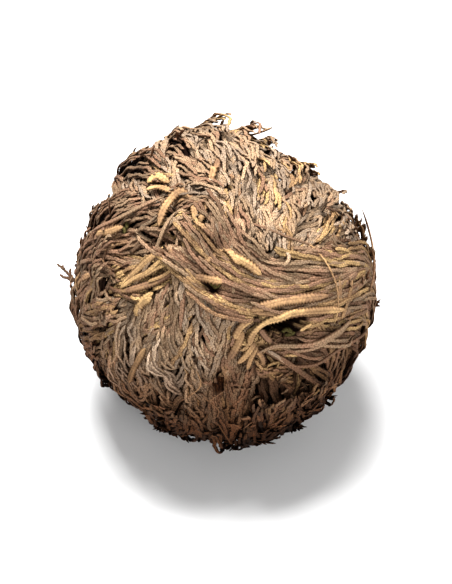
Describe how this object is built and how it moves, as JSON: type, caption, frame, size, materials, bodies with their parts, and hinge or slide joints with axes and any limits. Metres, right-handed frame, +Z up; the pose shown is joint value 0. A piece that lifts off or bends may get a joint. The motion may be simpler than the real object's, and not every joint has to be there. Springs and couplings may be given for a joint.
{
  "type": "rose of jericho",
  "caption": "Dried resurrection plant curled up into a ball: scaly fronds rise from a woody root crown with a flat underside and fold inwards over the top.",
  "frame": {"origin": "centre of the root crown's flat underside, on the surface that the plant rests on", "axes": "+Z up through the ball, -Y towards the side where the fronds' tips fold over, +X to the right of that side"},
  "size_m": [0.0843, 0.0787, 0.0787],
  "materials": {
    "frond_grey": "matte",
    "frond_tan": "matte",
    "frond_gold": "matte",
    "frond_brown": "matte",
    "frond_dark": "matte",
    "root": "matte"
  },
  "bodies": {
    "root": {"root_crown": "root", "frond_right_1": "frond_tan", "frond_right_2": "frond_tan", "frond_right_3": "frond_grey", "frond_front_6": "frond_brown", "frond_left_1": "frond_brown", "frond_fold": "frond_gold", "frond_arch": "frond_gold", "frond_low_1": "frond_dark", "frond_low_2": "frond_dark", "frond_low_3": "frond_dark", "frond_right_4": "frond_tan", "frond_right_5": "frond_brown", "frond_front_1": "frond_tan", "frond_front_2": "frond_grey", "frond_front_3": "frond_grey", "frond_front_4": "frond_grey", "frond_front_5": "frond_brown", "frond_left_2": "frond_tan", "frond_back_1": "frond_brown", "frond_back_2": "frond_grey", "frond_back_3": "frond_brown", "frond_back_4": "frond_grey", "frond_back_5": "frond_brown", "frond_back_6": "frond_brown", "frond_top_1": "frond_tan", "frond_top_2": "frond_grey", "frond_top_3": "frond_grey", "frond_top_4": "frond_grey", "frond_top_5": "frond_grey", "frond_top_6": "frond_grey", "frond_top_7": "frond_grey", "frond_top_8": "frond_grey", "frond_top_9": "frond_brown", "frond_right_6": "frond_brown", "frond_right_7": "frond_brown", "frond_inner_1": "frond_dark", "frond_inner_2": "frond_dark", "frond_inner_3": "frond_dark", "frond_inner_4": "frond_dark", "frond_inner_5": "frond_dark", "frond_inner_6": "frond_dark", "frond_inner_7": "frond_dark", "frond_inner_8": "frond_dark", "stray_twig": "frond_brown"}
  },
  "joints": []
}
